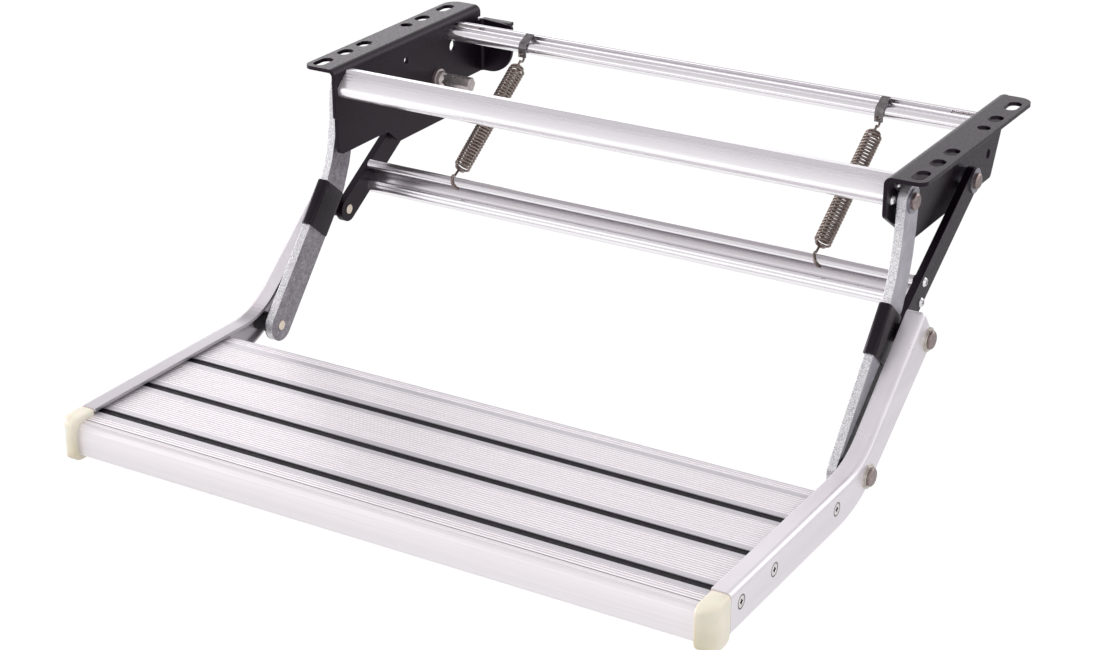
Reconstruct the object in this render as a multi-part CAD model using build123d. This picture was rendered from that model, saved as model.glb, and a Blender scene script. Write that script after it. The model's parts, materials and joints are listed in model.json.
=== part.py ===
from build123d import *
from math import acos, atan2, cos, degrees, hypot, radians, sin, tan
import os

os.makedirs("parts", exist_ok=True)

# Everything is in millimetres: X to the right, Y towards the vehicle, Z up.
# Z is 0 on top of the bracket flanges, and the round mounting holes lie on Y = 0.

# Thicknesses and gaps of the layers, from the bracket webs outwards
WEB_IN = 241.5
SHEET = 3.0
LINK_GAP = 3.5
FRONT_LINK_T = 7.0
REAR_LINK_T = 6.0
ARM_GAP = 4.5
ARM_DEPTH = 12.0
ARM_WALL = 3.0
FLANGE_W = 31.5
PLAY = 0.05

# Faces of the layers, measured from the middle
WEB_OUT = WEB_IN + SHEET
LINK_IN = WEB_OUT + LINK_GAP
FRONT_LINK_OUT = LINK_IN + FRONT_LINK_T
REAR_LINK_OUT = LINK_IN + REAR_LINK_T
ARM_IN = FRONT_LINK_OUT + ARM_GAP
WALL_IN = ARM_IN + ARM_DEPTH
ARM_OUT = WALL_IN + ARM_WALL
FLANGE_OUT = WEB_IN + FLANGE_W

# Pivot centres as (y, z)
A = (-113.5, -23.5)
B = (14.0, -48.5)
C = (-214.0, -198.0)
D = (-114.3, -128.8)
PIN_R = 4.0

# Mounting holes in the flanges: centre y and slot length
HOLE_X = FLANGE_OUT - 9.5
HOLE_W = 10.5
SLOTS = [(-121.5, 21.0), (-90.5, 16.0), (-63.5, 16.0), (24.5, 16.0), (60.5, 21.0)]
FLANGE_FRONT = -137.0
FLANGE_REAR = 84.0

# Screw axes as (y, z)
FRONT_RAIL_SCREWS = [(-128.0, -20.2), (-116.5, -12.8)]
REAR_RAIL_SCREW = (47.0, -10.4)
LOWER_RAIL_SCREWS = [(-78.0, -100.3), (-82.5, -115.3)]
ARM_SCREWS = [(-415.0, -200.5), (-366.0, -200.5), (-266.5, -200.8)]
SCREW_R = 2.0

# Tread
TREAD_TOP = -191.8
TREAD_FRONT = -430.0
ARM_TOP = TREAD_TOP + 4.3
CAP_FRONT = TREAD_FRONT - 26.0
PLUG_END = TREAD_FRONT + 9.0
NOSE_BASE = -219.0
CAP_BASE = -223.0
NOSE_X = ARM_IN + 0.5
INSERTS = [(-319.5, -312.2), (-372.6, -365.3), (-425.7, -418.4)]
RIB_PITCH = 2.8
LIP = TREAD_TOP - 1.4
GROOVE_BASE = TREAD_TOP - 3.4
SEAT_TOP = TREAD_TOP - 3.0
SEAT_BASE = TREAD_TOP - 5.4

# Springs
SPRING_X = 165.0
COIL_R = 7.2
WIRE_R = 0.9
COIL_TOP = (25.0, -27.6)
COIL_END = (-70.0, -92.6)
BEAD = (-82.0, -98.5)
BEAD_R = 4.0
CLIP_HOLE = (29.9, -17.9)
HOOK_R = 3.6


def corner(before, here, after, radius):
    """The two tangent points and the middle of an arc that rounds a corner."""
    u = (before[0] - here[0], before[1] - here[1])
    v = (after[0] - here[0], after[1] - here[1])
    lu = hypot(*u)
    lv = hypot(*v)
    u = (u[0] / lu, u[1] / lu)
    v = (v[0] / lv, v[1] / lv)
    half = acos(max(-1.0, min(1.0, u[0] * v[0] + u[1] * v[1]))) / 2
    run = radius / tan(half)
    w = (u[0] + v[0], u[1] + v[1])
    lw = hypot(*w)
    reach = radius / sin(half)
    start = (here[0] + u[0] * run, here[1] + u[1] * run)
    end = (here[0] + v[0] * run, here[1] + v[1] * run)
    mid = (here[0] + w[0] / lw * (reach - radius), here[1] + w[1] / lw * (reach - radius))
    return start, mid, end


def outline(*points):
    """A face inside straight edges, where a point's third number rounds its corner."""
    edges = []
    last = None
    first = None
    count = len(points)
    for i, point in enumerate(points):
        radius = point[2] if len(point) > 2 else 0
        here = (point[0], point[1])
        start = end = here
        arc = None
        if radius:
            start, mid, end = corner(points[i - 1][:2], here, points[(i + 1) % count][:2], radius)
            arc = ThreePointArc(start, mid, end)
        if last is not None and hypot(start[0] - last[0], start[1] - last[1]) > 1e-6:
            edges.append(Line(last, start))
        if first is None:
            first = start
        if arc is not None:
            edges.append(arc)
        last = end
    if hypot(first[0] - last[0], first[1] - last[1]) > 1e-6:
        edges.append(Line(last, first))
    return make_face(Wire(edges))


def bar(p, r, q, s):
    """A face with round ends of radius r at p and s at q, joined by tangents."""
    length = hypot(q[0] - p[0], q[1] - p[1])
    base = atan2(q[1] - p[1], q[0] - p[0])
    side = acos((r - s) / length)
    ring = []
    for centre, radius, turn in ((p, r, side), (q, s, side), (q, s, -side), (p, r, -side)):
        angle = base + turn
        ring.append((centre[0] + radius * cos(angle), centre[1] + radius * sin(angle)))
    return outline(*ring) + Pos(*p) * Circle(r) + Pos(*q) * Circle(s)


def chain(*circles):
    """Bars through a row of circles given as (y, z, radius)."""
    shape = None
    for p, q in zip(circles[:-1], circles[1:]):
        piece = bar(p[:2], p[2], q[:2], q[2])
        shape = piece if shape is None else shape + piece
    return shape


def across(face, x0, x1):
    """A solid from a (y, z) face, running along X."""
    return extrude(Plane.YZ.offset(x0) * face, x1 - x0)


def along(face, y0, y1):
    """A solid from an (x, z) face, running along Y."""
    return extrude(Plane.XZ.offset(-y1) * face, y1 - y0)


def upright(face, z0, z1):
    """A solid from an (x, y) face, running along Z."""
    return extrude(Plane.XY.offset(z0) * face, z1 - z0)


def rod(centre, radius, x0, x1):
    return across(Pos(*centre) * Circle(radius), x0, x1)


def tube(centre, radius, bore, x0, x1):
    return across(Pos(*centre) * (Circle(radius) - Circle(bore)), x0, x1)


def turned(centre, *profile):
    """A solid turned about an axis along X, from (x, radius) points."""
    face = Plane.XY * outline(*profile)
    return Pos(0, centre[0], centre[1]) * revolve(face, Axis.X)


def flip(shape):
    return mirror(shape, Plane.YZ)


def save(shape, name):
    """Writes one node. Several separate solids go in as a compound."""
    if isinstance(shape, list):
        shape = Compound(children=shape)
    export_step(shape, "parts/" + name + ".step")


def cross_slot(centre, x_face, depth, size):
    """The cross recess of a screw, cut inwards from its face on the right."""
    y, z = centre
    slot = Rectangle(size, size * 0.26) + Rectangle(size * 0.26, size)
    return across(Pos(y, z) * slot, x_face - depth, x_face + 1)


def pan_screw(centre, x_seat, length, head=3.7):
    """A self-tapping pan-head screw that goes in towards the middle from x_seat."""
    tip = x_seat - length
    body = turned(
        centre,
        (tip, 0), (tip + 3.5, SCREW_R), (x_seat, SCREW_R), (x_seat, head),
        (x_seat + 0.9, head), (x_seat + 2.3, head * 0.72), (x_seat + 2.7, 0),
    )
    return body - cross_slot(centre, x_seat + 2.7, 1.5, 4.0)


def flush_blank(centre, x_face, length):
    """The outer shape of a countersunk screw whose head is flush with x_face."""
    head = 4.3
    return turned(
        centre,
        (x_face - length, 0), (x_face - length + 3.5, SCREW_R), (x_face - 2.5, SCREW_R),
        (x_face - 0.2, head), (x_face, head), (x_face, 0),
    )


# Folded sheet-metal brackets: flange, bend and web, right-hand side first

def bracket(web_face):
    fold = outline(
        (FLANGE_OUT, 0), (WEB_IN, 0, 6), (WEB_IN, -10), (WEB_OUT, -10),
        (WEB_OUT, -SHEET, 3), (FLANGE_OUT, -SHEET),
    )
    plan = outline(
        (WEB_IN - 1, FLANGE_FRONT), (FLANGE_OUT, FLANGE_FRONT, 8),
        (FLANGE_OUT, FLANGE_REAR, 12), (WEB_IN - 1, FLANGE_REAR),
    )
    flange = along(fold, FLANGE_FRONT, FLANGE_REAR) & upright(plan, -20, 5)
    shape = flange + across(web_face, WEB_IN, WEB_OUT)
    for y, length in SLOTS:
        slot = Pos(HOLE_X, y) * Rot(0, 0, 90) * SlotOverall(length, HOLE_W)
        shape -= upright(slot, -5, 1)
    shape -= upright(Pos(HOLE_X, 0) * Circle(HOLE_W / 2), -5, 1)
    for pivot in (A, B):
        shape -= rod(pivot, PIN_R, WEB_IN - 1, WEB_OUT + 1)
    for screw in FRONT_RAIL_SCREWS + [REAR_RAIL_SCREW]:
        shape -= rod(screw, SCREW_R, WEB_IN - 1, WEB_OUT + 1)
    return shape


right_web = outline(
    (FLANGE_FRONT, -8), (FLANGE_FRONT, -31, 5), (-83, -66.8, 14), (75, -66.8, 4),
    (105.3, -5, 4), (86, -5, 2), (82, -8),
)
bracket_right = bracket(right_web)
bracket_right -= rod((65.8, -44.4), 4, WEB_IN - 1, WEB_OUT + 1)

left_web = outline(
    (FLANGE_FRONT, -8), (FLANGE_FRONT, -41, 1), (-135, -42.5, 1), (-135, -74, 8),
    (-63, -74, 8), (-47, -87.7, 8), (27, -87.7, 8), (49, -60, 8), (80, -60), (80, -8),
)
PLATE_END = WEB_IN - 31.0
plate_bend = outline(
    (WEB_OUT, 79), (WEB_OUT, 86 + SHEET, 6), (PLATE_END, 86 + SHEET), (PLATE_END, 86), (WEB_IN, 86, 3), (WEB_IN, 79),
)
plate_face = outline((WEB_OUT + 5, -12), (PLATE_END, -15, 3), (PLATE_END, -60, 23), (WEB_OUT + 5, -60))
plate = upright(plate_bend, -60, -12) & along(plate_face, 70, 100)
lug = across(outline((86, -24), (86, -14, 3.5), (95, -14), (95, -17), (89, -17, 1), (89, -24)), PLATE_END + 3.5, WEB_OUT)
left_as_right = bracket(left_web) + plate + lug
left_as_right -= rod((-33.6, -19.0), 3, WEB_IN - 1, WEB_OUT + 1)
left_as_right -= rod((38.7, -25.2), 5, WEB_IN - 1, WEB_OUT + 1)
bracket_left = flip(left_as_right)

save(bracket_right, "bracket_right")
save(bracket_left, "bracket_left")

# Front rail: a C-shaped extrusion with two screw ports
front_outer = outline(
    (-112.5, -4.4, 0.8), (-119.6, -3.9, 2), (-133.4, -16.5, 5), (-132.4, -22.6, 4),
    (-126.8, -26, 2), (-112.5, -21, 0.8),
)
front_inner = outline(
    (-111, -6.6), (-118.8, -6.1, 1), (-130.6, -17.2, 3), (-129.8, -20.8, 2),
    (-126.2, -23.4, 1), (-111, -18.2),
)
front_profile = front_outer - front_inner
front_profile += outline((-117.4, -11), (-115.6, -11), (-115.6, -5), (-117.4, -5))
for screw in FRONT_RAIL_SCREWS:
    front_profile += Pos(*screw) * Circle(3.7) & front_outer
for screw in FRONT_RAIL_SCREWS:
    front_profile -= Pos(*screw) * Circle(SCREW_R)
for step in range(3):
    front_profile -= Pos(-122.3 - 2.1 * step, -6.3 - 1.95 * step) * Circle(0.45)
front_rail = across(front_profile, -WEB_IN, WEB_IN)
save(front_rail, "front_rail")

# Rear rail: a round front bead and a thin rear bead with an open screw channel between them
rear_profile = Pos(36.0, -14.4) * Circle(4.6)
rear_profile += bar((38, -14.6), 1.4, (45, -13.2), 1.4)
rear_profile += bar((49, -12.4), 1.3, (55, -10.2), 1.3)
rear_profile += Pos(55, -9.3) * Circle(1.7)
rear_profile += Pos(*REAR_RAIL_SCREW) * Circle(4.3)
rear_profile -= Pos(*REAR_RAIL_SCREW) * Circle(SCREW_R)
rear_profile -= Pos(*REAR_RAIL_SCREW) * Rot(0, 0, 35) * Pos(0, 3) * Rectangle(3.8, 6)
rear_rail = across(rear_profile, -WEB_IN, WEB_IN)
save(rear_rail, "rear_rail")

# Lower rail: round beads above and below a channel that is open to the front, between the rear links
lower_profile = Pos(*BEAD) * Circle(BEAD_R)
curve = Pos(-86, -108.6) * (Circle(14.0) - Circle(11.4))
lower_profile += curve & outline((-79.8, -90), (-65, -90), (-65, -125), (-79.8, -125))
lower_profile += Pos(-82.8, -118) * Circle(4.6)
for screw in LOWER_RAIL_SCREWS:
    lower_profile += Pos(*screw) * Circle(3.7)
for screw in LOWER_RAIL_SCREWS:
    lower_profile -= Pos(*screw) * Circle(SCREW_R)
lower_rail = across(lower_profile, -LINK_IN, LINK_IN)
save(lower_rail, "lower_rail")

# Rear links: straight flat bars
rear_link = across(bar(B, 10.5, D, 10.5), LINK_IN, REAR_LINK_OUT)
for pivot in (B, D):
    rear_link -= rod(pivot, PIN_R + PLAY, LINK_IN - 1, REAR_LINK_OUT + 1)
for screw in LOWER_RAIL_SCREWS:
    rear_link -= rod(screw, SCREW_R, LINK_IN - 1, REAR_LINK_OUT + 1)
save(rear_link, "rear_link_right")
save(flip(rear_link), "rear_link_left")

# Front links: dog-legged flat bars, with a pin end riveted in at the lower pivot
LINK_BEND = (-132.2, -101.5)
front_link_face = chain(
    (A[0], A[1], 12.6), (-115.4, -48, 12.6), (-118.6, -66, 12.8), (-124.0, -84, 13.0),
    (LINK_BEND[0], LINK_BEND[1], 13.4), (C[0], C[1], 13.2),
)
front_link_solid = across(front_link_face, LINK_IN, FRONT_LINK_OUT)
front_link = front_link_solid - rod(A, PIN_R + PLAY, LINK_IN - 1, FRONT_LINK_OUT + 1)
front_link -= rod(C, PIN_R, LINK_IN - 1, FRONT_LINK_OUT + 1)
save(front_link, "front_link_right")
save(flip(front_link), "front_link_left")
pin_end = rod(C, PIN_R, LINK_IN - 0.5, FRONT_LINK_OUT)
save([pin_end, flip(pin_end)], "pin_ends_c")

# Plastic sleeves round the front links
SLEEVE_MID = (-147.0, -117.6)
SLEEVE_WALL = 1.7
sleeve_turn = degrees(atan2(C[1] - LINK_BEND[1], C[0] - LINK_BEND[0]))
block = Pos(*SLEEVE_MID) * Rot(0, 0, sleeve_turn) * RectangleRounded(40, 26.8 + 2 * SLEEVE_WALL, 2.2)
sleeve = across(block, LINK_IN - SLEEVE_WALL, FRONT_LINK_OUT + SLEEVE_WALL) - front_link_solid
save(sleeve, "sleeve_right")
save(flip(sleeve), "sleeve_left")

# Side arms: a cranked channel that is open towards the middle
arm_points = [
    (TREAD_FRONT, -219.7, 0), (-225.3, -219.7, 109), (-98.6, -132.4, 11), (-121.0, -103.8, 4),
    (-223.6, ARM_TOP, 68), (TREAD_FRONT, ARM_TOP, 0),
]
pocket_points = [
    (TREAD_FRONT - 5, -217.4, 0), (-225.3 - 0.7, -217.4, 107), (-101.4, -132.4, 8.5), (-120.6, -107.3, 2),
    (-222.6, -190.1, 70), (TREAD_FRONT - 5, -190.1, 0),
]
arm_face = outline(*arm_points)
arm = across(arm_face, ARM_IN, ARM_OUT)
top_edges = [e for e in arm.edges() if e.center().X > ARM_OUT - 0.01 and e.center().Z > ARM_TOP - 0.1
             and e.center().Y < -122.5]
arm = fillet(top_edges, 4.2)
arm -= across(outline(*pocket_points), ARM_IN - 1, WALL_IN)
lower_band = outline(
    (TREAD_FRONT - 5, -222), (-225, -222, 109), (-90, -129), (-96, -122), (-232, -210), (TREAD_FRONT - 5, -210),
)
arm -= across(lower_band, ARM_IN - 1, WALL_IN - 3.2)
for pivot in (C, D):
    arm -= rod(pivot, PIN_R, WALL_IN - 1, ARM_OUT + 1)
arm_screws = []
for screw in ARM_SCREWS:
    blank = flush_blank(screw, ARM_OUT, 19)
    arm -= blank
    arm_screws.append(blank - cross_slot(screw, ARM_OUT, 1.4, 4.4))
save(arm, "arm_right")
save(flip(arm), "arm_left")
save(arm_screws + [flip(screw) for screw in arm_screws], "arm_screws")

# Tread: one extrusion with fine ribs, insert grooves, screw ports and a hollow nose

def ribs(start, end):
    """Points of a ribbed strip from start back to end, going towards the front."""
    count = int((start - end) / RIB_PITCH)
    slack = (start - end - count * RIB_PITCH) / 2
    points = [(start, TREAD_TOP)]
    for i in range(count):
        y = start - slack - i * RIB_PITCH
        points += [(y - 0.2, TREAD_TOP - 0.9), (y - 0.9, TREAD_TOP - 0.9),
                   (y - 1.3, TREAD_TOP), (y - 2.4, TREAD_TOP)]
    points.append((end, TREAD_TOP - 0.9))
    return points


top_line = [(-265.0, TREAD_TOP)]
ribbed = [(-266.6, -273.6), (-279.6, -306.6), (-325.1, -359.7), (-378.2, -412.8),
          (TREAD_FRONT - 1.3, TREAD_FRONT - 10.0)]
for start, end in ribbed:
    top_line += ribs(start, end)
    if end > TREAD_FRONT:
        top_line.append((end - 0.1, TREAD_TOP))
nose_line = [
    (TREAD_FRONT - 10.6, TREAD_TOP - 0.9), (TREAD_FRONT - 11.4, TREAD_TOP - 0.3),
    (TREAD_FRONT - 13.6, TREAD_TOP - 0.6), (TREAD_FRONT - 14.0, TREAD_TOP - 1.6),
    (TREAD_FRONT - 15.0, TREAD_TOP - 1.7), (TREAD_FRONT - 15.6, TREAD_TOP - 1.0),
    (TREAD_FRONT - 17.4, TREAD_TOP - 1.9), (TREAD_FRONT - 19.4, TREAD_TOP - 4.6, 2.4),
    (TREAD_FRONT - 21.2, -205.0, 20), (TREAD_FRONT - 20.2, NOSE_BASE + 0.4, 4),
    (TREAD_FRONT - 11.5, NOSE_BASE, 0.8), (TREAD_FRONT - 11.5, NOSE_BASE + 2.2),
    (TREAD_FRONT - 17.6, NOSE_BASE + 2.6, 2), (TREAD_FRONT - 18.8, -205.0, 14),
    (TREAD_FRONT - 16.9, TREAD_TOP - 5.0, 2),
]
under_line = [(TREAD_FRONT - 10.0, TREAD_TOP - 3.2), (-264.2, TREAD_TOP - 3.2, 0.5)]
tread_face = outline(*(top_line + nose_line + under_line))
for y, z in ARM_SCREWS:
    tread_face += Pos(y, z) * Circle(3.9)
    tread_face += outline((y - 1.1, z), (y + 1.1, z), (y + 1.1, TREAD_TOP - 2.2), (y - 1.1, TREAD_TOP - 2.2))
    tread_face += outline((y - 1.0, -215.5), (y + 1.0, -215.5), (y + 1.0, z), (y - 1.0, z))
    tread_face += outline((y - 5.0, -216.8), (y + 5.0, -216.8), (y + 5.0, -214.9), (y - 5.0, -214.9))
for front, rear in INSERTS:
    tread_face += outline((front - 2, SEAT_TOP), (front - 2, SEAT_BASE, 1), (rear + 2, SEAT_BASE, 1),
                          (rear + 2, SEAT_TOP))
    tread_face -= outline((front, TREAD_TOP + 1.8), (front, LIP), (front - 0.9, LIP), (front - 0.9, GROOVE_BASE),
                          (rear + 0.9, GROOVE_BASE), (rear + 0.9, LIP), (rear, LIP), (rear, TREAD_TOP + 1.8))
for y, z in ARM_SCREWS:
    tread_face -= Pos(y, z) * Circle(SCREW_R)
tread = across(tread_face, -WALL_IN, WALL_IN)
corner_cut = across(outline((TREAD_FRONT, -180), (TREAD_FRONT, -225), (-470, -225), (-470, -180)), NOSE_X, ARM_OUT + 5)
tread -= corner_cut
tread -= flip(corner_cut)
save(tread, "tread")

# Rubber inserts in the grooves
for number, (front, rear) in enumerate(INSERTS):
    strip = outline(
        (front, TREAD_TOP - 0.9), (front, LIP), (front - 0.9, LIP), (front - 0.9, GROOVE_BASE),
        (rear + 0.9, GROOVE_BASE), (rear + 0.9, LIP), (rear, LIP), (rear, TREAD_TOP - 0.9),
    )
    save(across(strip, -WALL_IN, WALL_IN), "insert_%d" % (number + 1))

# Plastic end caps with a plug inside the channel
cap = across(outline((TREAD_FRONT, ARM_TOP - 0.3), (CAP_FRONT, ARM_TOP - 0.3, 7), (CAP_FRONT, CAP_BASE, 9),
                     (TREAD_FRONT, CAP_BASE, 6)), NOSE_X, ARM_OUT + 0.3)
cap_plan = outline((NOSE_X - 1, TREAD_FRONT + 1), (ARM_OUT + 0.3, TREAD_FRONT + 1), (ARM_OUT + 0.3, CAP_FRONT, 13),
                   (NOSE_X - 1, CAP_FRONT))
cap = cap & upright(cap_plan, CAP_BASE - 7, ARM_TOP + 7.5)
cap_rims = [e for e in cap.edges() if e.center().X > NOSE_X + 6 and e.center().Z > ARM_TOP - 2.5
            and e.center().Y < TREAD_FRONT - 1]
cap = fillet(cap_rims, 3.5)
cap += across(outline((TREAD_FRONT, -206.5), (TREAD_FRONT, -216.6), (PLUG_END, -216.6), (PLUG_END, -206.5)),
              NOSE_X + 2, WALL_IN)
save(cap, "cap_right")
save(flip(cap), "cap_left")

# Upper pivots: pin with head, outer washer and spacer, fixed to the brackets

def upper_pin(pivot, link_out, head_r, head_h):
    seat = link_out + PLAY + 1.4
    return turned(
        pivot,
        (WEB_IN, 0), (WEB_IN, PIN_R), (seat, PIN_R),
        (seat, head_r), (seat + head_h - 1.2, head_r), (seat + head_h, head_r - 1.6), (seat + head_h, 0),
    )


pin_a = upper_pin(A, FRONT_LINK_OUT, 6.5, 3.2)
pin_b = upper_pin(B, REAR_LINK_OUT, 6.5, 3.2)
save([pin_a, flip(pin_a)], "pins_a")
save([pin_b, flip(pin_b)], "pins_b")
washers = []
for pivot, link_out, radius, inner in ((A, FRONT_LINK_OUT, 9.5, 7.0), (B, REAR_LINK_OUT, 10.0, 10.0)):
    washers.append(tube(pivot, radius, PIN_R, link_out + PLAY, link_out + PLAY + 1.4))
    washers.append(tube(pivot, inner, PIN_R, WEB_OUT, LINK_IN - PLAY))
save(washers + [flip(washer) for washer in washers], "washers_ab")

# Hexagonal stud on the inside of the left bracket, over the rear pivot
STUD_LENGTH = 34.5
STUD_FLAT = 5.6
stud_collar = turned(
    B,
    (WEB_IN, 0), (WEB_IN, 9.0), (WEB_IN - 2.5, 9.0), (WEB_IN - 2.5, STUD_FLAT + 2.2),
    (WEB_IN - 6.0, STUD_FLAT + 1.6), (WEB_IN - 10.0, STUD_FLAT - 0.2), (WEB_IN - 10.0, 0),
)
stud_hex = across(Pos(*B) * RegularPolygon(STUD_FLAT, 6, major_radius=False), WEB_IN - STUD_LENGTH, WEB_IN - 8.0)
hex_stud = flip(stud_collar + stud_hex)
save(hex_stud, "hex_stud")

# Lower pivots: pin with head, washers and a spacer tube, fixed to the arms

def lower_pin(pivot, inner):
    seat = ARM_OUT + 2.2
    return turned(
        pivot,
        (inner, 0), (inner, PIN_R), (seat, PIN_R), (seat, 7.0), (seat + 1.6, 7.0), (seat + 2.4, 6.0), (seat + 2.4, 0),
    )


pin_c = lower_pin(C, FRONT_LINK_OUT + PLAY)
pin_d = lower_pin(D, LINK_IN - 0.5)
save([pin_c, flip(pin_c)], "pins_c")
save([pin_d, flip(pin_d)], "pins_d")
spacers = [tube(C, 8.0, PIN_R, FRONT_LINK_OUT + PLAY, WALL_IN), tube(D, 8.0, PIN_R, REAR_LINK_OUT + PLAY, WALL_IN)]
save(spacers + [flip(spacer) for spacer in spacers], "spacers_cd")
rings = []
for pivot in (C, D):
    rings.append(tube(pivot, 9.4, PIN_R, ARM_OUT, ARM_OUT + 1.1))
    rings.append(tube(pivot, 8.2, PIN_R, ARM_OUT + 1.1, ARM_OUT + 2.2))
save(rings + [flip(ring) for ring in rings], "washers_cd")

# Self-tapping screws of the three rails
front_screws = [pan_screw(screw, WEB_OUT, 22) for screw in FRONT_RAIL_SCREWS]
save(front_screws + [flip(screw) for screw in front_screws], "front_rail_screws")
rear_screw = pan_screw(REAR_RAIL_SCREW, WEB_OUT, 27.5, head=3.4)
save([rear_screw, flip(rear_screw)], "rear_rail_screws")
lower_screws = [pan_screw(screw, REAR_LINK_OUT, 24) for screw in LOWER_RAIL_SCREWS]
save(lower_screws + [flip(screw) for screw in lower_screws], "lower_rail_screws")

# Spring clips: a bent strip from the rear rail's channel over its front bead
CLIP_W = 7.0
clip_line = [
    (46.9, -10.2), (42.9, -4.5), (38.0, -6.9), (31.5, -9.8), (CLIP_HOLE[0], -13.5), (CLIP_HOLE[0], -20.6),
]
clip_face = chain(*[(y, z, 0.8) for y, z in clip_line])
clip = across(clip_face, SPRING_X - CLIP_W / 2, SPRING_X + CLIP_W / 2)
clip -= along(Pos(SPRING_X, CLIP_HOLE[1]) * RectangleRounded(3.4, 2.8, 0.8), CLIP_HOLE[0] - 2, CLIP_HOLE[0] + 3)
save(clip, "spring_clip_right")
save(flip(clip), "spring_clip_left")

# Tension springs: the coils' outer shape, with an open hook at each end

def ring_arc(centre, radius, first, last):
    """Part of a wire ring in the plane x = SPRING_X, between two angles in degrees."""
    start = (centre[0] + radius * cos(radians(first)), centre[1] + radius * sin(radians(first)))
    middle = (centre[0] + radius * cos(radians((first + last) / 2)), centre[1] + radius * sin(radians((first + last) / 2)))
    finish = (centre[0] + radius * cos(radians(last)), centre[1] + radius * sin(radians(last)))
    points = [Vector(SPRING_X, *start), Vector(SPRING_X, *middle), Vector(SPRING_X, *finish)]
    path = ThreePointArc(*points)
    return sweep(Plane(origin=path @ 0, z_dir=path % 0) * Circle(WIRE_R), path), start, finish


def wire(p, q):
    """A straight run of spring wire with round ends."""
    a = Vector(SPRING_X, *p)
    b = Vector(SPRING_X, *q)
    run = extrude(Plane(origin=a, z_dir=(b - a).normalized()) * Circle(WIRE_R), (b - a).length)
    return run + Pos(a) * Sphere(WIRE_R) + Pos(b) * Sphere(WIRE_R)


slant = (COIL_TOP[0] - COIL_END[0], COIL_TOP[1] - COIL_END[1])
coil_length = hypot(*slant)
lean = degrees(atan2(slant[1], slant[0]))
coil_plane = Plane(origin=(SPRING_X, *COIL_END), z_dir=(0, slant[0], slant[1]))
coil_side = outline(
    (0, 0), (COIL_R - 2.6, 0), (COIL_R, 4), (COIL_R, coil_length - 4), (COIL_R - 2.6, coil_length), (0, coil_length),
)
coil = coil_plane * revolve(Plane.XZ * coil_side, Axis.Z)
low_ring, low_start, low_finish = ring_arc(BEAD, BEAD_R + WIRE_R + 0.25, lean + 4, 222)
top_ring, top_start, top_finish = ring_arc((CLIP_HOLE[0], CLIP_HOLE[1] - HOOK_R), HOOK_R, -150, 130)
spring = coil + low_ring + top_ring + wire(low_start, COIL_END) + wire(top_start, COIL_TOP)
save(spring, "spring_right")
save(flip(spring), "spring_left")
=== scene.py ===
import json
import math

import bmesh
import bpy
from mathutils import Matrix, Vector


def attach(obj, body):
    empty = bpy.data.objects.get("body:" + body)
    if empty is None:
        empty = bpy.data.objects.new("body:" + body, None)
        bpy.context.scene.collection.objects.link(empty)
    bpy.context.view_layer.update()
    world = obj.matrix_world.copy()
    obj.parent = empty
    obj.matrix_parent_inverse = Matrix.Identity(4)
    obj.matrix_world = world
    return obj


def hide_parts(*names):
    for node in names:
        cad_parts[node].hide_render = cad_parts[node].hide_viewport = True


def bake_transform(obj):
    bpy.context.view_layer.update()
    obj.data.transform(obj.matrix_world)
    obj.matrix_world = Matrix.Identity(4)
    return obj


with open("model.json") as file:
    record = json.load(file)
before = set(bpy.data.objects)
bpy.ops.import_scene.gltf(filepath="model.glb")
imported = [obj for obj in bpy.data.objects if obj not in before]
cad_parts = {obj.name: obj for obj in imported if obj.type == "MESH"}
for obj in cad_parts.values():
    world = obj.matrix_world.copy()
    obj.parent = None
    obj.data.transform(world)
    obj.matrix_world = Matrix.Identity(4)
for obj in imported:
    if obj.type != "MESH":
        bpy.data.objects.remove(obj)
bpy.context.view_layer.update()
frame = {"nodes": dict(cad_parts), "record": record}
nodes = frame["nodes"]
MM = 0.001


# Material helpers

BEVEL_SAMPLES = 6


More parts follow.
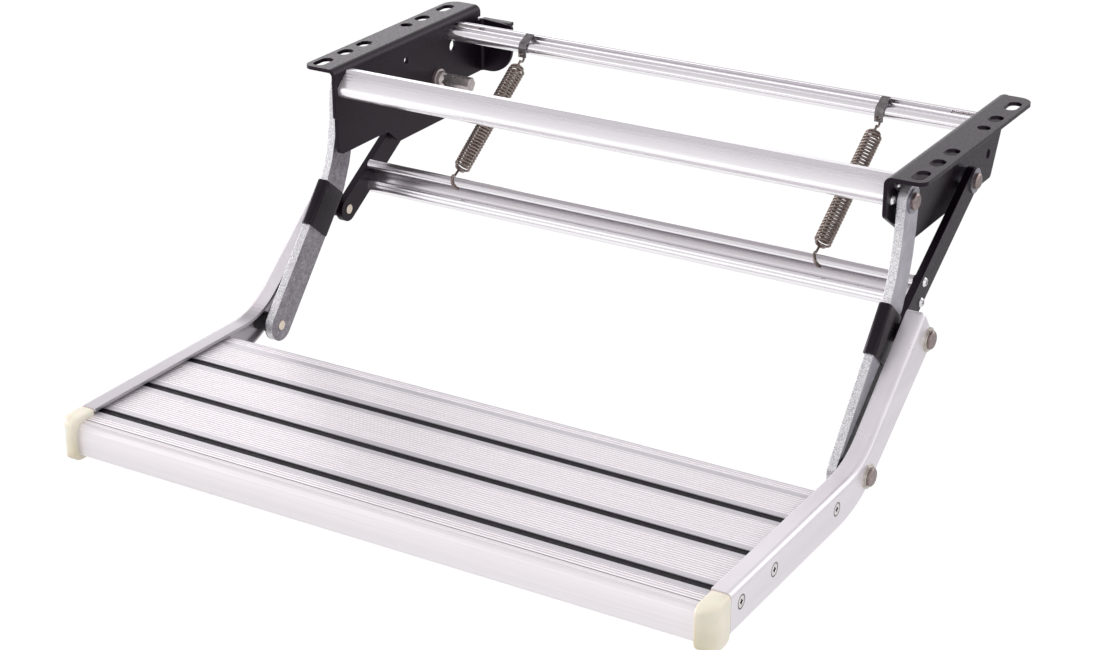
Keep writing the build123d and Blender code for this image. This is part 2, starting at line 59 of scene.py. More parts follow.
class Maker:
    """Builds one node material step by step. Places and distances are in metres."""

    def __init__(self, name):
        self.mat = bpy.data.materials.new(name)
        self.mat.use_nodes = True
        self.tree = self.mat.node_tree
        self.tree.nodes.clear()
        self.out = self.add("ShaderNodeOutputMaterial")
        self.shader = self.add("ShaderNodeBsdfPrincipled")
        self.link(self.shader.outputs["BSDF"], self.out.inputs["Surface"])
        self.coord = self.add("ShaderNodeTexCoord").outputs["Object"]
        self.edge = None

    def add(self, kind):
        return self.tree.nodes.new(kind)

    def link(self, a, b):
        self.tree.links.new(a, b)

    def set(self, **values):
        for key, value in values.items():
            self.shader.inputs[key.replace("_", " ")].default_value = value

    def scaled(self, stretch):
        """Object coordinates multiplied along each axis."""
        mapping = self.add("ShaderNodeMapping")
        mapping.inputs["Scale"].default_value = stretch
        self.link(self.coord, mapping.inputs["Vector"])
        return mapping.outputs["Vector"]

    def noise(self, scale, detail=3.0, stretch=(1, 1, 1), rough=0.55):
        node = self.add("ShaderNodeTexNoise")
        node.inputs["Scale"].default_value = scale
        node.inputs["Detail"].default_value = detail
        node.inputs["Roughness"].default_value = rough
        self.link(self.scaled(stretch), node.inputs["Vector"])
        return node.outputs["Fac"]

    def ramp(self, value, stops):
        node = self.add("ShaderNodeValToRGB")
        ramp = node.color_ramp
        while len(ramp.elements) < len(stops):
            ramp.elements.new(0.5)
        for element, (place, color) in zip(ramp.elements, stops):
            element.position = place
            element.color = (color[0], color[1], color[2], 1)
        self.link(value, node.inputs["Fac"])
        return node.outputs["Color"]

    def tones(self, value, low, high, start=0.3, end=0.7):
        """A colour that runs from low to high as value runs from start to end."""
        return self.ramp(value, [(start, low), (end, high)])

    def span(self, value, low, high, start=0.3, end=0.7):
        """A number that runs from low to high as value runs from start to end."""
        node = self.add("ShaderNodeMapRange")
        node.inputs["From Min"].default_value = start
        node.inputs["From Max"].default_value = end
        node.inputs["To Min"].default_value = low
        node.inputs["To Max"].default_value = high
        self.link(value, node.inputs["Value"])
        return node.outputs["Result"]

    def mix(self, factor, a, b, mode="MIX"):
        node = self.add("ShaderNodeMix")
        node.data_type = "RGBA"
        node.blend_type = mode
        inputs = [s for s in node.inputs if s.enabled]
        for socket, value in zip(inputs, (factor, a, b)):
            if isinstance(value, bpy.types.NodeSocket):
                self.link(value, socket)
            elif isinstance(value, (int, float)):
                socket.default_value = value
            else:
                socket.default_value = (value[0], value[1], value[2], 1)
        return [s for s in node.outputs if s.enabled][0]

    def soften(self, radius):
        """Rounds the look of sharp edges, as paint, plating and tumbling do."""
        node = self.add("ShaderNodeBevel")
        node.samples = BEVEL_SAMPLES
        node.inputs["Radius"].default_value = radius
        self.edge = node.outputs["Normal"]

    def math(self, operation, *values):
        node = self.add("ShaderNodeMath")
        node.operation = operation
        for socket, value in zip(node.inputs, values):
            if isinstance(value, bpy.types.NodeSocket):
                self.link(value, socket)
            else:
                socket.default_value = value
        return node.outputs["Value"]

    def split(self, vector):
        node = self.add("ShaderNodeSeparateXYZ")
        self.link(vector, node.inputs["Vector"])
        return node.outputs["X"], node.outputs["Y"], node.outputs["Z"]

    def axes(self):
        return self.split(self.coord)

    def facing(self):
        """How far the bare face looks along each axis, from -1 to 1."""
        return self.split(self.add("ShaderNodeNewGeometry").outputs["True Normal"])

    def nearest(self, y, z, places):
        """Distance in the YZ plane to the nearest of some points."""
        least = None
        for place_y, place_z in places:
            dy = self.math("SUBTRACT", y, place_y)
            dz = self.math("SUBTRACT", z, place_z)
            squares = self.math("ADD", self.math("MULTIPLY", dy, dy), self.math("MULTIPLY", dz, dz))
            away = self.math("SQRT", squares)
            least = away if least is None else self.math("MINIMUM", least, away)
        return least

    def zone(self, value, low, high, soft):
        """1 where value lies between low and high, fading over soft on both sides."""
        rise = self.span(value, 0.0, 1.0, low - soft, low)
        fall = self.span(value, 1.0, 0.0, high, high + soft)
        return self.math("MULTIPLY", rise, fall)

    def bump(self, height, distance, strength=0.5):
        node = self.add("ShaderNodeBump")
        node.inputs["Strength"].default_value = strength
        node.inputs["Distance"].default_value = distance
        self.link(height, node.inputs["Height"])
        if self.edge is not None:
            self.link(self.edge, node.inputs["Normal"])
        self.link(node.outputs["Normal"], self.shader.inputs["Normal"])

    def color(self, socket):
        self.link(socket, self.shader.inputs["Base Color"])

    def rough(self, socket):
        self.link(socket, self.shader.inputs["Roughness"])


def black_coat():
    m = Maker("black_coat")
    m.soften(0.0009)
    m.set(Specular_IOR_Level=0.23, Specular_Tint=(1.0, 0.78, 1.0, 1))
    m.color(m.tones(m.noise(14, 4), (0.0034, 0.0020, 0.0038), (0.0062, 0.0038, 0.0070)))
    m.rough(m.span(m.noise(420, 3), 0.27, 0.40))
    m.bump(m.noise(900, 2), 0.00006, 0.5)
    return m.mat


# Front links: their outer face, the upper edge of the arm's slope, and how far below it the painted shade
# starts
LINK_FACE_X = (0.2540, 0.2546)
ARM_EDGE_POINT = (-0.1210, -0.1038)
ARM_EDGE_NORMAL = (-0.632, 0.775)
SHADE_BELOW = (-0.0025, -0.0040)
EDGE_FACING = (0.5, 0.9)
ZINC_GRAIN = [(0.38, (0.38, 0.37, 0.39)), (0.50, (0.62, 0.61, 0.63)), (0.61, (0.88, 0.87, 0.89))]


def galvanised():
    """Zinc with soft patches on its flat faces, a bright grain on its cut edges and painted shade under the
    arm's edge.
    """
    m = Maker("galvanised")
    m.soften(0.0007)
    m.set(Metallic=0.7)
    x, y, z = m.axes()
    blotches = m.tones(m.noise(220, 6, rough=0.75), (0.20, 0.186, 0.207), (0.40, 0.376, 0.412), 0.32, 0.68)
    flecks = m.tones(m.noise(800, 3, rough=0.7), (0.60, 0.60, 0.60), (1.15, 1.12, 1.15), 0.35, 0.68)
    inner = m.mix(1.0, blotches, flecks, "MULTIPLY")
    outer = m.tones(m.noise(60, 3), (0.37, 0.355, 0.40), (0.47, 0.455, 0.505), 0.32, 0.68)
    outside = m.span(m.math("ABSOLUTE", x), 0.0, 1.0, *LINK_FACE_X)
    faces = m.mix(outside, inner, outer)
    grain = m.ramp(m.noise(1300, 3, rough=0.7), ZINC_GRAIN)
    cut_edge = m.span(m.math("ABSOLUTE", m.facing()[0]), 1.0, 0.0, *EDGE_FACING)
    plain = m.mix(cut_edge, faces, grain)
    normal_y, normal_z = ARM_EDGE_NORMAL
    offset = -(normal_y * ARM_EDGE_POINT[0] + normal_z * ARM_EDGE_POINT[1])
    above = m.math("MULTIPLY_ADD", z, normal_z, m.math("MULTIPLY_ADD", y, normal_y, offset))
    # Painted shade: the link's outer face goes near black below the arm's edge, standing in for the arm's
    # shadow and its dark inside
    painted_arm_shade = m.math("MULTIPLY", m.span(above, 0.0, 1.0, *SHADE_BELOW), outside)
    m.color(m.mix(painted_arm_shade, plain, (0.012, 0.010, 0.013)))
    m.rough(m.span(m.noise(300, 3), 0.34, 0.52))
    m.bump(m.noise(650, 3), 0.0001, 0.5)
    return m.mat


# Arms: the middles of their screws in the YZ plane, and the ring round each head where shade is painted in
# the gap
ARM_SCREWS = [(-0.415, -0.2005), (-0.366, -0.2005), (-0.2665, -0.2008)]
SCREW_RING_R = (0.0043, 0.0052)
SCREW_RING_FADE = 0.0003
TOP_FACING = (0.90, 0.98)
LEFT_HALF_X = (-0.05, 0.05)
TOP_SHADE_SHARE = 0.60
MIDDLE_X = (-0.01, 0.01)
INSIDE_FACING = (-0.9, -0.5)
INSIDE_SHADE_SHARE = 0.85


def arm_finish():
    """Satin aluminium, with painted shade on the left arm's top and inside both arms, and painted shade in a
    ring round each screw.
    """
    m = Maker("satin_arm")
    m.soften(0.0010)
    m.set(Metallic=0.6)
    x, y, z = m.axes()
    face_x, _, face_z = m.facing()
    unshaded = m.tones(m.noise(1, 3, (60, 5, 60)), (0.715, 0.675, 0.715), (0.775, 0.735, 0.775))
    # Painted shade in the gap round each screw head
    painted_ring_shade = m.zone(m.nearest(y, z, ARM_SCREWS), *SCREW_RING_R, SCREW_RING_FADE)
    # Painted shade: the left arm's upward faces are drawn greyer
    upward = m.span(face_z, 0.0, 1.0, *TOP_FACING)
    painted_top_shade = m.math("MULTIPLY", upward, m.span(x, 1.0, 0.0, *LEFT_HALF_X))
    # Painted shade: the faces inside both arms' channels are drawn darker
    inward = m.math("MULTIPLY", face_x, m.span(x, -1.0, 1.0, *MIDDLE_X))
    inside = m.span(inward, 1.0, 0.0, *INSIDE_FACING)
    top_shaded = m.mix(m.math("MULTIPLY", painted_top_shade, TOP_SHADE_SHARE), unshaded, (0.20, 0.185, 0.205))
    shaded = m.mix(m.math("MULTIPLY", inside, INSIDE_SHADE_SHARE), top_shaded, (0.33, 0.305, 0.33))
    m.color(m.mix(painted_ring_shade, shaded, (0.09, 0.07, 0.07)))
    m.rough(m.span(m.noise(1, 4, (90, 6, 90)), 0.27, 0.35))
    m.bump(m.noise(260, 3), 0.00001, 0.3)
    return m.mat


# Tread: its ribbed strips, where they end at the nose, its skin, and the depth in the gaps between the ribs
# below which shade is painted
RIBBED = [(-0.2736, -0.2666), (-0.3066, -0.2796), (-0.3597, -0.3251), (-0.4128, -0.3782), (-0.4400, -0.4313)]
RIB_FADE = 0.0002
RIBS_END_Y = (-0.4404, -0.4400)
NOSE_Y = (-0.4410, -0.4404)
SKIN_Z = (-0.1945, -0.1940)
RIB_GAP_Z = (-0.1926, -0.1922)
NOSE_SHARE = 0.35
ROLLED = (5, 500, 500)


def ribbed_aluminium():
    """The tread's satin finish: bright ribs, greyer flat strips, and painted shade down between the ribs."""
    m = Maker("satin_tread")
    m.set(Metallic=0.5)
    _, y, z = m.axes()
    streaks = m.noise(1, 3, ROLLED)
    flat = m.tones(streaks, (0.50, 0.475, 0.505), (0.57, 0.545, 0.58))
    bright = m.tones(streaks, (0.83, 0.785, 0.815), (0.90, 0.855, 0.885))
    ribs = m.span(y, 1.0, 0.0, *RIBS_END_Y)
    for front, rear in RIBBED:
        ribs = m.math("ADD", ribs, m.zone(y, front, rear, RIB_FADE))
    on_top = m.span(z, 0.0, 1.0, *SKIN_Z)
    # Painted shade in the gaps down between the ribs
    between = m.math("MULTIPLY", m.span(z, 1.0, 0.0, *RIB_GAP_Z), on_top)
    between = m.math("MULTIPLY", between, m.span(y, 0.0, 1.0, *RIBS_END_Y))
    nose = m.math("MULTIPLY", m.span(y, 1.0, 0.0, *NOSE_Y), NOSE_SHARE)
    top = m.mix(nose, m.mix(ribs, flat, bright), (0.62, 0.585, 0.60))
    m.color(m.mix(between, top, (0.11, 0.095, 0.105)))
    m.rough(m.span(m.noise(1, 4, ROLLED), 0.30, 0.42))
    m.bump(m.noise(1500, 2), 0.00001, 0.3)
    return m.mat


# Rails: long fine streaks, and the tones of the clean metal
DRAWN = (6, 600, 600)
BRIGHT_TONES = ((0.86, 0.835, 0.865), (0.94, 0.92, 0.945))


def drawn_rail(name, metallic, rough_low, rough_high):
    """A bright drawn finish that has no colour yet, and its streaks."""
    m = Maker(name)
    m.set(Metallic=metallic)
    streaks = m.noise(1, 3, DRAWN)
    m.rough(m.span(streaks, rough_low, rough_high))
    m.bump(m.noise(1400, 2), 0.000004, 0.2)
    return m, streaks


def bright_aluminium():
    m, streaks = drawn_rail("bright_aluminium", 0.95, 0.18, 0.24)
    m.color(m.tones(streaks, *BRIGHT_TONES))
    return m.mat


CHANNEL_MIDDLE = (-0.086, -0.1086)
CHANNEL_WALL_R = (0.0110, 0.0144)
CHANNEL_FADE = 0.0004
CHANNEL_Z = (-0.1170, -0.1130)


def lower_rail_finish():
    """The same bright finish, with painted shade inside the curved channel."""
    m, streaks = drawn_rail("bright_channel", 0.95, 0.18, 0.26)
    _, y, z = m.axes()
    # Painted shade: the curved channel wall is drawn darker
    wall = m.zone(m.nearest(y, z, [CHANNEL_MIDDLE]), *CHANNEL_WALL_R, CHANNEL_FADE)
    deep = m.math("MULTIPLY", wall, m.span(z, 0.0, 1.0, *CHANNEL_Z))
    m.color(m.mix(deep, m.tones(streaks, *BRIGHT_TONES), (0.56, 0.53, 0.555)))
    return m.mat


# Front rail: the heights over which the painted shade on its top fades in, and how strong it is
RAIL_MIDDLE_Z = -0.015
RAIL_TOP_Z = -0.007
RAIL_TOP_SHADE_SHARE = 0.7


def front_rail_finish():
    """The bright finish, a little milkier in front, with painted shade on top."""
    m, streaks = drawn_rail("bright_front", 0.72, 0.20, 0.26)
    z = m.axes()[2]
    upper = m.math("MULTIPLY", m.span(z, 0.0, 1.0, RAIL_MIDDLE_Z, RAIL_TOP_Z), RAIL_TOP_SHADE_SHARE)
    unshaded = m.tones(streaks, (0.94, 0.915, 0.945), (0.99, 0.97, 0.995))
    m.color(m.mix(upper, unshaded, (0.55, 0.53, 0.565)))
    return m.mat


def black_rubber():
    m = Maker("black_rubber")
    m.set(Specular_IOR_Level=0.25)
    m.color(m.tones(m.noise(40, 3), (0.0050, 0.0038, 0.0060), (0.0095, 0.0075, 0.0115)))
    m.rough(m.span(m.noise(300, 3), 0.50, 0.68))
    m.bump(m.noise(800, 3), 0.00008, 0.5)
    return m.mat


def black_plastic():
    m = Maker("black_plastic")
    m.soften(0.0016)
    m.set(Specular_IOR_Level=0.27, Specular_Tint=(1.0, 0.84, 1.0, 1))
    m.color(m.tones(m.noise(30, 3), (0.0024, 0.0016, 0.0028), (0.0042, 0.0030, 0.0050)))
    m.rough(m.span(m.noise(200, 3), 0.20, 0.30))
    m.bump(m.noise(500, 2), 0.00004, 0.4)
    return m.mat


# Caps: where they grow yellower, downwards and towards the front
CAP_DEEP_Z = (-0.2180, -0.1950)
CAP_DEEP_Y = (-0.4560, -0.4440)
CAP_DEEP_SHARE = 0.75


def ivory_plastic():
    """Milky plastic that is darker and yellower low on its front."""
    m = Maker("ivory_plastic")
    m.soften(0.0015)
    m.set(Subsurface_Weight=0.25, Subsurface_Scale=0.005)
    _, y, z = m.axes()
    pale = m.tones(m.noise(60, 3), (0.69, 0.65, 0.54), (0.75, 0.71, 0.60))
    deep = m.math("MULTIPLY", m.span(z, 1.0, 0.0, *CAP_DEEP_Z), m.span(y, 1.0, 0.0, *CAP_DEEP_Y))
    m.color(m.mix(m.math("MULTIPLY", deep, CAP_DEEP_SHARE), pale, (0.60, 0.55, 0.38)))
    m.rough(m.span(m.noise(150, 3), 0.30, 0.42))
    m.bump(m.noise(400, 2), 0.00004, 0.4)
    return m.mat


# Pins: how far out from the middle their brassy inner ends reach
PIN_END_X = (0.2482, 0.2488)


def pin_finish():
    """Plated steel on the heads, with brassy ends on the inner side of the links."""
    m = Maker("pin_steel")
    m.soften(0.0005)
    m.set(Metallic=0.95)
    x = m.axes()[0]
    heads = m.tones(m.noise(240, 4), (0.215, 0.17, 0.163), (0.355, 0.285, 0.275))
    ends = m.tones(m.noise(240, 4), (0.70, 0.60, 0.50), (0.84, 0.74, 0.63))
    m.color(m.mix(m.span(m.math("ABSOLUTE", x), 1.0, 0.0, *PIN_END_X), heads, ends))
    m.rough(m.span(m.noise(420, 3), 0.22, 0.36))
    m.bump(m.noise(700, 2), 0.00005, 0.4)
    return m.mat


def plated_steel(name, low, high, rough_low, rough_high, metallic=0.95):
    m = Maker(name)
    m.set(Metallic=metallic)
    m.color(m.tones(m.noise(240, 4), low, high))
    m.rough(m.span(m.noise(420, 3), rough_low, rough_high))
    m.bump(m.noise(700, 2), 0.00005, 0.4)
    return m.mat


# Arm screws: the face of their heads, and the core of the recess, where shade is painted
HEAD_FACE_X = (0.27415, 0.27435)
RECESS_CORE_R = (0.0010, 0.0019)


def arm_screw_finish():
    """Bright heads, with painted shade down in the cross recess."""
    m = Maker("arm_screw_steel")
    m.set(Metallic=0.95)
    x, y, z = m.axes()
    bright = m.tones(m.noise(260, 4), (0.60, 0.57, 0.57), (0.84, 0.81, 0.81))
    # Painted shade below the head face and in the core of the recess
    painted_recess_shade = m.span(m.math("ABSOLUTE", x), 1.0, 0.0, *HEAD_FACE_X)
    core = m.span(m.nearest(y, z, ARM_SCREWS), 1.0, 0.0, *RECESS_CORE_R)
    m.color(m.mix(m.math("MAXIMUM", painted_recess_shade, core), bright, (0.020, 0.014, 0.014)))
    m.rough(m.span(m.noise(420, 3), 0.18, 0.30))
    m.bump(m.noise(700, 2), 0.00004, 0.4)
    return m.mat


MATERIALS = {
    "black_steel": black_coat(),
    "zinc_steel": galvanised(),
    "rail_aluminium": bright_aluminium(),
    "arm_aluminium": arm_finish(),
    "tread_aluminium": ribbed_aluminium(),
    "screw_steel": plated_steel("screw_steel", (0.66, 0.65, 0.66), (0.86, 0.85, 0.86), 0.16, 0.28),
    "pin_steel": pin_finish(),
    "washer_steel": plated_steel("washer_steel", (0.24, 0.235, 0.26), (0.38, 0.37, 0.41), 0.24, 0.40),
    "pale_washer": plated_steel("pale_washer", (0.52, 0.49, 0.45), (0.70, 0.67, 0.62), 0.24, 0.38),
    # Spacers drawn near black as painted shade in the gap behind the links
    "painted_shade_spacer": plated_steel("painted_shade_spacer", (0.03, 0.028, 0.03), (0.06, 0.055, 0.06), 0.4, 0.55, 0.6),
    "lower_rail_aluminium": lower_rail_finish(),
    "front_rail_aluminium": front_rail_finish(),
    "arm_screw_steel": arm_screw_finish(),
    "stud_steel": plated_steel("stud_steel", (0.46, 0.41, 0.41), (0.68, 0.62, 0.61), 0.24, 0.40),
    "sleeve_plastic": black_plastic(),
    "insert_rubber": black_rubber(),
    "cap_plastic": ivory_plastic(),
    "clip_steel": plated_steel("clip_steel", (0.12, 0.11, 0.115), (0.25, 0.23, 0.235), 0.26, 0.42, 0.85),
    "spring_steel": plated_steel("spring_steel", (0.17, 0.13, 0.115), (0.34, 0.275, 0.25), 0.24, 0.40, 0.9),
}

# Pieces whose look differs from that of their slot
SPECIAL = {
    "tread": "tread_aluminium",
    "washers_cd": "pale_washer",
    "spacers_cd": "painted_shade_spacer",
    "lower_rail": "lower_rail_aluminium",
    "front_rail": "front_rail_aluminium",
    "arm_screws": "arm_screw_steel",
}


def dress(obj, slot):
    obj.data.materials.clear()
    obj.data.materials.append(MATERIALS[slot])


for part in frame["record"]["subparts"]:
    dress(nodes[part["node"]], SPECIAL.get(part["node"], part["material_slot"]))


# Caps: the shape of the solids, with edges rounded as the mould leaves them

CAP_VOXEL = 0.0006
CAP_PASSES = 36
CAP_PULL = 0.5


def rounded_skin(node, body, slot):
    source = nodes[node]
    skin = bpy.data.objects.new("skin_" + node, source.data.copy())
    skin.matrix_world = source.matrix_world.copy()
    bpy.context.scene.collection.objects.link(skin)
    remesh = skin.modifiers.new("remesh", "REMESH")
    remesh.mode = "VOXEL"
    remesh.voxel_size = CAP_VOXEL
    remesh.use_smooth_shade = True
    smooth = skin.modifiers.new("smooth", "SMOOTH")
    smooth.factor = CAP_PULL
    smooth.iterations = CAP_PASSES
    dress(skin, slot)
    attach(skin, body)
    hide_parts(node)


for cap in ("cap_left", "cap_right"):
    rounded_skin(cap, "step", "cap_plastic")


# Sleeves: moulded tubes with well rounded edges outside and a square bore, in millimetres

SLEEVE_MIDDLE = (-147.0, -117.6)
SLEEVE_TILT = math.atan2(-96.5, -81.8)
SLEEVE_HALF = 20.0
SLEEVE_X = (246.3, 256.7)
SLEEVE_WIDE = 30.2
SLEEVE_WALL = 1.7
SLEEVE_ROUND = 3.4
BORE_ROUND = 0.05
END_ROUND = 0.7
END_MIDDLE = 0.2
ARC_STEPS = 8
SHARP_ANGLE = 40


def sleeve_loop(inset, radius):
    """Points round a rounded rectangle, across the sleeve, in millimetres."""
    half_x = (SLEEVE_X[1] - SLEEVE_X[0]) / 2 - inset
    half_w = SLEEVE_WIDE / 2 - inset
    points = []
    for turn in range(4):
        sign_x = (1, -1, -1, 1)[turn]
        sign_w = (1, 1, -1, -1)[turn]
        for step in range(ARC_STEPS + 1):
            angle = math.radians(90 * turn + 90 * step / ARC_STEPS)
            points.append((sign_x * (half_x - radius) + radius * math.cos(angle),
                           sign_w * (half_w - radius) + radius * math.sin(angle)))
    return points


def sleeve_skin(side):
    word = "right" if side > 0 else "left"
    along = (math.cos(SLEEVE_TILT), math.sin(SLEEVE_TILT))
    across = (-along[1], along[0])
    middle_x = (SLEEVE_X[0] + SLEEVE_X[1]) / 2
    loops = [(SLEEVE_HALF, SLEEVE_WALL, BORE_ROUND),
             (SLEEVE_HALF, END_ROUND, SLEEVE_ROUND - END_ROUND),
             (SLEEVE_HALF - END_MIDDLE, END_MIDDLE, SLEEVE_ROUND - END_MIDDLE),
             (SLEEVE_HALF - END_ROUND, 0.0, SLEEVE_ROUND)]
    loops += [(-place, inset, radius) for place, inset, radius in reversed(loops)]
    verts = []
    for place, inset, radius in loops:
        for x, w in sleeve_loop(inset, radius):
            verts.append((side * (middle_x + x) * MM,
                          (SLEEVE_MIDDLE[0] + along[0] * place + across[0] * w) * MM,
                          (SLEEVE_MIDDLE[1] + along[1] * place + across[1] * w) * MM))
    count = 4 * (ARC_STEPS + 1)
    faces = []
    for ring in range(len(loops)):
        after = (ring + 1) % len(loops)
        for i in range(count):
            j = (i + 1) % count
            faces.append((ring * count + i, ring * count + j, after * count + j, after * count + i))
    mesh = bpy.data.meshes.new("moulded_sleeve_" + word)
    mesh.from_pydata(verts, [], faces)
    work = bmesh.new()
    work.from_mesh(mesh)
    bmesh.ops.recalc_face_normals(work, faces=work.faces)
    for face in work.faces:
        face.smooth = True
    for edge in work.edges:
        edge.smooth = edge.calc_face_angle(0.0) < math.radians(SHARP_ANGLE)
    work.to_mesh(mesh)
    work.free()
    skin = bpy.data.objects.new("moulded_sleeve_" + word, mesh)
    bpy.context.scene.collection.objects.link(skin)
    dress(skin, "sleeve_plastic")
    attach(skin, "front_links")
    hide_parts("sleeve_" + word)


for side in (1, -1):
    sleeve_skin(side)


# Springs: wound wire with tapered ends and the hooks of the solids, in millimetres and degrees

SPRING_X = 165.0
COIL_TOP = (25.0, -27.6)
COIL_END = (-70.0, -92.6)
COIL_R = 6.3
TURNS = 37
TURN_STEPS = 24
TAPER_START = 0.30
TAPER_RATE = 0.55
SOLID_WIRE_R = 0.9
SHOWN_WIRE_R = 1.0
HOOK_STEPS = 24
BEAD = (-82.0, -98.5)
BEAD_R = 4.0
BEAD_GAP = 0.25
BEAD_HOOK_START = 258.0
BEAD_HOOK_PAST = 10
BEAD_HOOK_SWAY = 6.5
CLIP_HOLE = (29.9, -17.9)
CLIP_HOOK_R = 3.6
CLIP_HOOK_START = -150
CLIP_HOOK_SWEEP = 290
CLIP_HOOK_SWAY = -1.6


def tube_mesh(name, points, radius, sides=8):
    """A closed tube of constant radius along points, in metres."""
    verts = []
    faces = []
    count = len(points)
    side = None
    for i, p in enumerate(points):
        ahead = (points[min(i + 1, count - 1)] - points[max(i - 1, 0)]).normalized()
        if side is None:
            side = ahead.orthogonal().normalized()
        side = (side - ahead * side.dot(ahead)).normalized()
        up = ahead.cross(side)
        for k in range(sides):
            angle = 2 * math.pi * k / sides
            verts.append(p + radius * (math.cos(angle) * side + math.sin(angle) * up))
    for i in range(count - 1):
        for k in range(sides):
            j = (k + 1) % sides
            faces.append((i * sides + k, i * sides + j, (i + 1) * sides + j, (i + 1) * sides + k))
    faces.append(tuple(reversed(range(sides))))
    faces.append(tuple((count - 1) * sides + k for k in range(sides)))
    mesh = bpy.data.meshes.new(name)
    mesh.from_pydata([tuple(v) for v in verts], [], faces)
    mesh.update()
    for face in mesh.polygons:
        face.use_smooth = len(face.vertices) == 4
    obj = bpy.data.objects.new(name, mesh)
    bpy.context.scene.collection.objects.link(obj)
    return obj


def spring_points(side):
    """The wire's centre line from the lower hook up to the hook at the clip."""
    def round_point(centre, radius, angle, sway):
        """A point of a hook that goes round centre in the YZ plane and sways along X."""
        y = centre[0] + radius * math.cos(angle)
        z = centre[1] + radius * math.sin(angle)
        return Vector((side * SPRING_X + sway, y, z)) * MM

    lean = math.atan2(COIL_TOP[1] - COIL_END[1], COIL_TOP[0] - COIL_END[0])
    line = Vector((0, math.cos(lean), math.sin(lean)))
    out = Vector((0, -math.sin(lean), math.cos(lean)))
    across = Vector((1, 0, 0))
    low = Vector((side * SPRING_X, *COIL_END))
    length = math.hypot(COIL_TOP[0] - COIL_END[0], COIL_TOP[1] - COIL_END[1])
    points = []
    reach = BEAD_R + SOLID_WIRE_R + BEAD_GAP
    sweep = math.degrees(lean) + BEAD_HOOK_PAST - BEAD_HOOK_START
    for i in range(HOOK_STEPS + 1):
        t = i / HOOK_STEPS
        angle = math.radians(BEAD_HOOK_START + sweep * t)
        points.append(round_point(BEAD, reach, angle, BEAD_HOOK_SWAY * (1 - t) ** 1.5))
    steps = TURNS * TURN_STEPS
    for i in range(steps + 1):
        t = i / steps
        from_end = TURNS * min(t, 1 - t)
        swell = min(1.0, TAPER_START + TAPER_RATE * from_end)
        angle = 2 * math.pi * TURNS * t
        offset = (math.cos(angle) * out + math.sin(angle) * across) * COIL_R * swell
        points.append((low + line * (length * t) + offset) * MM)
    centre = (CLIP_HOLE[0], CLIP_HOLE[1] - CLIP_HOOK_R)
    for i in range(HOOK_STEPS + 1):
        t = i / HOOK_STEPS
        angle = math.radians(CLIP_HOOK_START + CLIP_HOOK_SWEEP * t)
        points.append(round_point(centre, CLIP_HOOK_R, angle, CLIP_HOOK_SWAY * t * t))
    return points


for word, side in (("left", -1), ("right", 1)):
    coil = tube_mesh("spring_wire_" + word, spring_points(side), SHOWN_WIRE_R * MM)
    dress(coil, "spring_steel")
    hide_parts("spring_" + word)
    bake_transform(coil)


# Threads on the tips of the rear rail's screws, which lie open in its channel, in millimetres

SCREW_AXIS = (47.0, -10.4)
SCREW_TIP = 217.0
SCREW_END = 241.0
THREAD_PITCH = 1.6
THREAD_LEAD = 1.2
THREAD_STEPS = 16
THREAD_R = 1.95
POINT_R = 0.75
POINT_RISE = 0.36
RIDGE_R = 0.32
RIDGE_SIDES = 6


def thread_points(side):
    """The thread's ridge, from the screw's point to its full width and on to the head."""
    points = []
    length = SCREW_END - SCREW_TIP - THREAD_LEAD
    turns = length / THREAD_PITCH
    steps = int(turns * THREAD_STEPS)
    for i in range(steps + 1):
        t = i / steps
        x = SCREW_TIP + THREAD_LEAD + t * length
        radius = min(THREAD_R, POINT_R + (x - SCREW_TIP) * POINT_RISE)
        angle = 2 * math.pi * turns * t
        points.append(Vector((side * x, SCREW_AXIS[0] + radius * math.cos(angle),
                              SCREW_AXIS[1] + radius * math.sin(angle))) * MM)
    return points


for word, side in (("left", -1), ("right", 1)):
    thread = tube_mesh("screw_thread_" + word, thread_points(side), RIDGE_R * MM, RIDGE_SIDES)
    dress(thread, "stud_steel")
    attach(thread, "mounting_frame")


# Camera

CAMERA_LENS = 77.8
CAMERA_PLACE = (0.8582, -1.6328, 0.5893)
CAMERA_DIP = 23.79
CAMERA_TURN = 30.91

camera_data = bpy.data.cameras.new("camera")
camera_data.lens = CAMERA_LENS
camera_data.sensor_width = 36.0
camera_data.clip_end = 50.0
camera = bpy.data.objects.new("camera", camera_data)
camera.location = CAMERA_PLACE
camera.rotation_euler = (math.radians(90 - CAMERA_DIP), 0, math.radians(CAMERA_TURN))
bpy.context.scene.collection.objects.link(camera)
bpy.context.scene.camera = camera


# Floor

FLOOR_Z = -0.62
FLOOR_HALF = 14.0
FLOOR_GLOW = 1.06
SEEN_SHARE = 0.9
NEAR_Y = (-0.5, 0.1)
FAR_Y = (0.3, 1.0)
FAR_X = (0.0, 0.5)


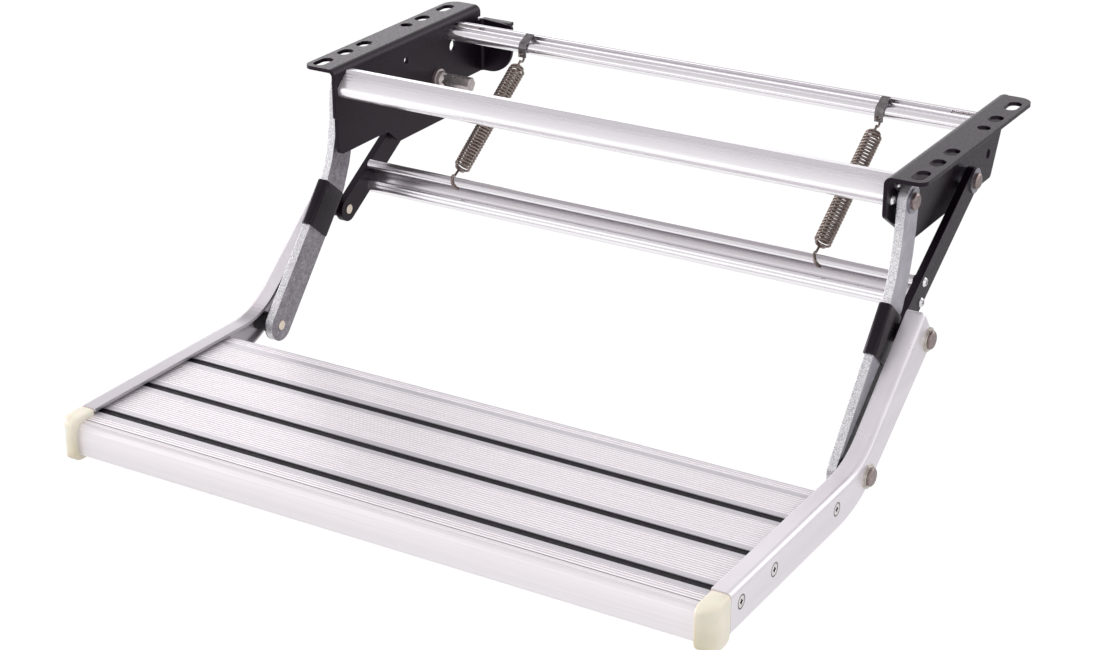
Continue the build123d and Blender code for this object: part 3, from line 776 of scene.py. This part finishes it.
def floor_material():
    """White for the camera and in reflections, with a share of real shading for the shadow."""
    m = Maker("floor_white")
    m.set(Roughness=0.9)
    m.color(m.tones(m.noise(3, 2), (0.60, 0.60, 0.60), (0.62, 0.62, 0.62)))
    glow = m.add("ShaderNodeEmission")
    glow.inputs["Strength"].default_value = FLOOR_GLOW
    path = m.add("ShaderNodeLightPath")
    x, y, _ = m.axes()
    near = m.span(y, 1.02, 0.60, *NEAR_Y)
    far = m.math("MULTIPLY", m.span(y, 0.0, 0.92, *FAR_Y), m.span(x, 0.0, 1.0, *FAR_X))
    mirrored = m.math("MULTIPLY", near, m.math("SUBTRACT", 1.0, far))
    seen = m.math("MULTIPLY", path.outputs["Is Camera Ray"], SEEN_SHARE)
    blend = m.add("ShaderNodeMixShader")
    m.link(m.math("MULTIPLY_ADD", path.outputs["Is Glossy Ray"], mirrored, seen), blend.inputs[0])
    m.link(m.shader.outputs["BSDF"], blend.inputs[1])
    m.link(glow.outputs["Emission"], blend.inputs[2])
    m.link(blend.outputs["Shader"], m.out.inputs["Surface"])
    return m.mat


floor_mesh = bpy.data.meshes.new("floor")
floor_mesh.from_pydata(
    [(-FLOOR_HALF, -FLOOR_HALF, FLOOR_Z), (FLOOR_HALF, -FLOOR_HALF, FLOOR_Z),
     (FLOOR_HALF, FLOOR_HALF, FLOOR_Z), (-FLOOR_HALF, FLOOR_HALF, FLOOR_Z)],
    [], [(0, 1, 2, 3)],
)
floor = bpy.data.objects.new("floor", floor_mesh)
bpy.context.scene.collection.objects.link(floor)
floor.data.materials.append(floor_material())


# World: pale walls all round, brightest in a band above the horizon, under a greyer ceiling

WALL_GREY = 0.66
WALL_TOP = 0.24
CEILING = ((0.28, 1.0), (0.34, 1.0), (0.40, 0.66), (0.55, 0.47), (0.80, 0.415), (1.0, 0.38))
GREEN_SHARE = 0.985
STUDIO_STRENGTH = 1.67

# Soft windows: direction, cosines of the outer and inner edge, and how many times brighter each is
WINDOWS = [
    ((0.40, 0.81, 0.43), 0.945, 0.985, 1.15),
    ((-0.60, 0.76, 0.26), 0.965, 0.995, 0.9),
    ((-0.98, -0.20, -0.02), 0.900, 0.975, 6.0),
]

world = bpy.data.worlds.new("world")
bpy.context.scene.world = world
world.use_nodes = True
tree = world.node_tree
tree.nodes.clear()


def world_node(kind, operation=None):
    node = tree.nodes.new(kind)
    if operation is not None:
        node.operation = operation
    return node


direction = world_node("ShaderNodeTexCoord")
parts = world_node("ShaderNodeSeparateXYZ")
tree.links.new(direction.outputs["Generated"], parts.inputs["Vector"])

heights = world_node("ShaderNodeValToRGB")
stops = heights.color_ramp
for stop, place in zip(stops.elements, (0.0, WALL_TOP)):
    stop.position = place
    stop.color = (WALL_GREY, WALL_GREY, WALL_GREY, 1)
for place, grey in CEILING:
    stop = stops.elements.new(place)
    stop.color = (grey, grey * GREEN_SHARE, grey, 1)
tree.links.new(parts.outputs["Z"], heights.inputs["Fac"])

glow = None
for toward, outer, inner, gain in WINDOWS:
    facing = world_node("ShaderNodeVectorMath", "DOT_PRODUCT")
    facing.inputs[1].default_value = Vector(toward).normalized()
    tree.links.new(direction.outputs["Generated"], facing.inputs[0])
    window = world_node("ShaderNodeMapRange")
    window.inputs["From Min"].default_value = outer
    window.inputs["From Max"].default_value = inner
    window.inputs["To Min"].default_value = 0.0
    window.inputs["To Max"].default_value = gain
    tree.links.new(facing.outputs["Value"], window.inputs["Value"])
    total = world_node("ShaderNodeMath", "ADD")
    total.inputs[1].default_value = 1.0
    tree.links.new(window.outputs["Result"], total.inputs[0])
    if glow is not None:
        tree.links.new(glow, total.inputs[1])
    glow = total.outputs["Value"]
strength = world_node("ShaderNodeMath", "MULTIPLY")
strength.inputs[1].default_value = STUDIO_STRENGTH
tree.links.new(glow, strength.inputs[0])
studio = world_node("ShaderNodeBackground")
tree.links.new(heights.outputs["Color"], studio.inputs["Color"])
tree.links.new(strength.outputs["Value"], studio.inputs["Strength"])

# The camera sees plain white in place of the studio
white = world_node("ShaderNodeBackground")
white.inputs["Color"].default_value = (1, 1, 1, 1)
white.inputs["Strength"].default_value = 1.0
path = world_node("ShaderNodeLightPath")
choose = world_node("ShaderNodeMixShader")
tree.links.new(path.outputs["Is Camera Ray"], choose.inputs["Fac"])
tree.links.new(studio.outputs["Background"], choose.inputs[1])
tree.links.new(white.outputs["Background"], choose.inputs[2])
world_out = world_node("ShaderNodeOutputWorld")
tree.links.new(choose.outputs["Shader"], world_out.inputs["Surface"])


# Lamps

def area_lamp(name, place, aim, size, power):
    data = bpy.data.lights.new(name, "AREA")
    data.shape = "RECTANGLE"
    data.size = size[0]
    data.size_y = size[1]
    data.energy = power
    lamp = bpy.data.objects.new(name, data)
    lamp.location = place
    lamp.rotation_euler = (Vector(aim) - Vector(place)).to_track_quat("-Z", "Y").to_euler()
    lamp.visible_glossy = False
    bpy.context.scene.collection.objects.link(lamp)


area_lamp("key", (-0.9, -1.1, 1.9), (0, -0.2, -0.15), (1.0, 1.0), 15)
area_lamp("fill", (1.9, -0.6, 0.9), (0.1, -0.2, -0.15), (1.2, 1.2), 8)

bpy.context.scene.view_settings.view_transform = "Standard"
